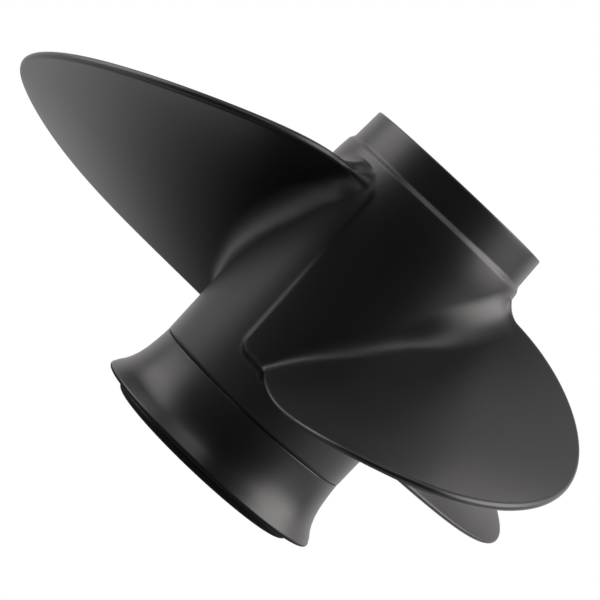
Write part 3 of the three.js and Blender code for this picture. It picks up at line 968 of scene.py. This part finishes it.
def moulded_rubber():
    """Dull black rubber with a fine grain."""
    material, tree, shader = node_material("moulded_rubber")
    broad = texture_noise(tree, scale=120, detail=4)
    fine = texture_noise(tree, scale=1500, detail=3)
    tree.links.new(mixed_colour(tree, broad, *RUBBER_COLOURS), shader.inputs["Base Color"])
    tree.links.new(ranged(tree, broad, *RUBBER_ROUGHNESS), shader.inputs["Roughness"])
    bumped(tree, shader, [(fine, *RUBBER_GRAIN)])
    return material


def machined(name, colours, roughness):
    """Turned metal: fine rings round the Z axis, with stains."""
    material, tree, shader = node_material(name)
    shader.inputs["Metallic"].default_value = 1.0
    stains = texture_noise(tree, scale=90, detail=5)
    place = tree.nodes.new("ShaderNodeTexCoord")
    rings = tree.nodes.new("ShaderNodeTexWave")
    rings.wave_type = "RINGS"
    rings.rings_direction = "Z"
    rings.inputs["Scale"].default_value = TURNED_SCALE
    rings.inputs["Distortion"].default_value = TURNED_WOBBLE
    tree.links.new(place.outputs["Object"], rings.inputs["Vector"])
    tree.links.new(mixed_colour(tree, stains, *colours), shader.inputs["Base Color"])
    tree.links.new(ranged(tree, stains, *roughness), shader.inputs["Roughness"])
    bumped(tree, shader, [(rings.outputs["Fac"], *TURNED_RINGS)])
    return material


def painted(obj, material):
    """The object, with the material as its only one."""
    obj.data.materials.clear()
    obj.data.materials.append(material)
    return obj


# ---------------------------------------------------------------- stage, lights and camera

CAMERA_AZIMUTH = math.radians(-21.547)
CAMERA_ELEVATION = math.radians(2.651)
CAMERA_ROLL = math.radians(-43.213)
CAMERA_DISTANCE = 737.19
CAMERA_AIM = (-10.26, 4.05, 52.76)
CAMERA_LENS = 156.137
CAMERA_SENSOR = 36
CAMERA_CLIP = (0.01, 50)

# Floor, and the painted bounce light from it with a painted shadow under the object, in metres
FLOOR_REACH = 20.0
FLOOR_DEPTH = 0.0006                  # below the object, so that nothing touches it
BOUNCE_DEPTH = 0.001
BOUNCE_SIDE = 3.0
BOUNCE_BACK = 4.0
BOUNCE_FRONT = -0.13
GLOW_SHIFT = (-0.012, -0.03)          # the sheet's shift to the right and away from the camera
GLOW_START = 0.04                     # distances from the middle of the painted shadow under the object
GLOW_END = 0.15
PAINTED_SHADOW_GLOW = 0.1                       # brightness at those distances: the painted shadow's, then the painted bounce light's
GLOW_FAR = 1.05

# Soft boxes: azimuth from the camera's (right is positive), elevation, distance, width, height, radiance
SOFT_BOXES = {
    "left_box": (-93, 22, 1.2, 0.95, 0.95, 3.9),
    "right_box": (89, 37, 1.2, 1.10, 1.10, 5.6),
    "backdrop": (180, 8, 2.0, 5.0, 2.4, 1.1),
    "ceiling": (180, 62, 1.5, 1.8, 0.8, 0.8),
    "front_top": (-12, 61, 1.4, 1.3, 0.5, 2.8),
    "front_fill": (0, 5, 2.0, 3.0, 2.5, 0.04),
}
LIGHT_AIM = Vector((0, 0, 0.055))
LIGHT_TINT = (1.0, 0.968, 0.957)


def camera():
    """The camera at the photograph's viewing angle."""
    back = Vector((math.sin(CAMERA_AZIMUTH) * math.cos(CAMERA_ELEVATION),
                   -math.cos(CAMERA_AZIMUTH) * math.cos(CAMERA_ELEVATION), math.sin(CAMERA_ELEVATION)))
    level = Vector((math.cos(CAMERA_AZIMUTH), math.sin(CAMERA_AZIMUTH), 0))
    upright = back.cross(level)
    up = upright * math.cos(CAMERA_ROLL) + level * math.sin(CAMERA_ROLL)
    right = level * math.cos(CAMERA_ROLL) - upright * math.sin(CAMERA_ROLL)
    place = (Vector(CAMERA_AIM) + back * CAMERA_DISTANCE) * MM
    data = bpy.data.cameras.new("camera")
    data.sensor_width = CAMERA_SENSOR
    data.lens = CAMERA_LENS
    data.clip_start, data.clip_end = CAMERA_CLIP
    obj = bpy.data.objects.new("camera", data)
    obj.matrix_world = Matrix.Translation(place) @ Matrix((right, up, back)).transposed().to_4x4()
    bpy.context.scene.collection.objects.link(obj)
    bpy.context.scene.camera = obj


def emissive(name):
    """A white material that only glows."""
    material = bpy.data.materials.new(name)
    material.use_nodes = True
    tree = material.node_tree
    tree.nodes.remove(tree.nodes["Principled BSDF"])
    glow = tree.nodes.new("ShaderNodeEmission")
    glow.inputs["Strength"].default_value = 1.0
    tree.links.new(glow.outputs["Emission"], tree.nodes["Material Output"].inputs["Surface"])
    return material


def staged_sheet(name, corners, material):
    """A flat sheet that isn't part of the object."""
    mesh = bpy.data.meshes.new(name)
    mesh.from_pydata(corners, [], [(0, 1, 2, 3)])
    mesh.materials.append(material)
    obj = bpy.data.objects.new(name, mesh)
    bpy.context.scene.collection.objects.link(obj)
    return obj


def bounce_light():
    """The floor's bounce light in reflections, painted on a glowing sheet: a painted shadow under the object,
    and brighter away from it.
    """
    material = emissive("painted_bounce_and_shadow")
    tree = material.node_tree
    glow = tree.nodes["Emission"]
    place = tree.nodes.new("ShaderNodeTexCoord")
    length = tree.nodes.new("ShaderNodeVectorMath")
    length.operation = "LENGTH"
    tree.links.new(place.outputs["Object"], length.inputs[0])
    # Painted shadow: the sheet glows dimly under the object and brightly away from it.
    mapping = tree.nodes.new("ShaderNodeMapRange")
    mapping.interpolation_type = "SMOOTHSTEP"
    mapping.inputs["From Min"].default_value = GLOW_START
    mapping.inputs["From Max"].default_value = GLOW_END
    mapping.inputs["To Min"].default_value = PAINTED_SHADOW_GLOW
    mapping.inputs["To Max"].default_value = GLOW_FAR
    tree.links.new(length.outputs["Value"], mapping.inputs["Value"])
    tree.links.new(mapping.outputs["Result"], glow.inputs["Strength"])
    return material


def stage():
    """A white floor that runs off into a white surround, and painted bounce light from it, with a painted
    shadow under the object, that only reflections see.
    """
    reach = FLOOR_REACH
    square = ((-reach, -reach), (reach, -reach), (reach, reach), (-reach, reach))
    corners = [(x, y, -FLOOR_DEPTH) for x, y in square]
    seen = staged_sheet("floor", corners, emissive("white_floor"))
    seen.visible_glossy = False
    seen.visible_diffuse = False
    seen.visible_shadow = False
    back = Vector((-math.sin(CAMERA_AZIMUTH), math.cos(CAMERA_AZIMUTH), 0))
    side = Vector((math.cos(CAMERA_AZIMUTH), math.sin(CAMERA_AZIMUTH), 0))
    ends = ((-BOUNCE_SIDE, BOUNCE_FRONT), (BOUNCE_SIDE, BOUNCE_FRONT), (BOUNCE_SIDE, BOUNCE_BACK),
            (-BOUNCE_SIDE, BOUNCE_BACK))
    bounce = staged_sheet("bounce", [tuple(side * x + back * y) for x, y in ends], bounce_light())
    bounce.location = side * GLOW_SHIFT[0] + back * GLOW_SHIFT[1] - Vector((0, 0, BOUNCE_DEPTH))
    bounce.visible_camera = False
    world = bpy.data.worlds.new("surround")
    world.use_nodes = True
    background = world.node_tree.nodes["Background"]
    background.inputs["Color"].default_value = (1, 1, 1, 1)
    background.inputs["Strength"].default_value = 1.0
    world.cycles_visibility.glossy = False
    world.cycles_visibility.diffuse = False
    bpy.context.scene.world = world
    bpy.context.scene.view_settings.view_transform = "Standard"


def soft_box(name, azimuth, elevation, distance, width, height, radiance):
    """A rectangular light that faces the object, placed by its angles from the camera's."""
    turn = CAMERA_AZIMUTH + math.radians(azimuth)
    lift = math.radians(elevation)
    direction = Vector((math.sin(turn) * math.cos(lift), -math.cos(turn) * math.cos(lift), math.sin(lift)))
    data = bpy.data.lights.new(name, "AREA")
    data.shape = "RECTANGLE"
    data.size = width
    data.size_y = height
    data.energy = radiance * math.pi * width * height
    data.color = LIGHT_TINT
    obj = bpy.data.objects.new(name, data)
    obj.location = LIGHT_AIM + direction * distance
    obj.rotation_euler = direction.to_track_quat("Z", "Y").to_euler()
    obj.visible_camera = False
    bpy.context.scene.collection.objects.link(obj)


# ---------------------------------------------------------------- assembly

camera()
stage()
for name, values in SOFT_BOXES.items():
    soft_box(name, *values)

paint = satin_paint()
rubber = moulded_rubber()
brass = machined("turned_brass", BRASS_COLOURS, BRASS_ROUGHNESS)
steel = machined("turned_steel", STEEL_COLOURS, STEEL_ROUGHNESS)


def add(obj, node, body, material):
    """Puts a piece in its CAD node's place."""
    painted(obj, material)
    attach(obj, body)
    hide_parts(node)


add(blade_casting(), "blade_casting", "propeller", paint)
add(diffuser_ring(), "diffuser_ring", "propeller", paint)
add(cush_bush(), "cush_bush", "propeller", rubber)
add(spline_sleeve(), "spline_sleeve", "shaft_side", brass)
add(thrust_washer(), "thrust_washer", "shaft_side", brass)
add(spline_spacer(), "spline_spacer", "shaft_side", brass)
add(plain_washer(), "plain_washer", "shaft_side", steel)
for name in ("castle_nut", "cotter_pin"):
    painted(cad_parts[name], steel)
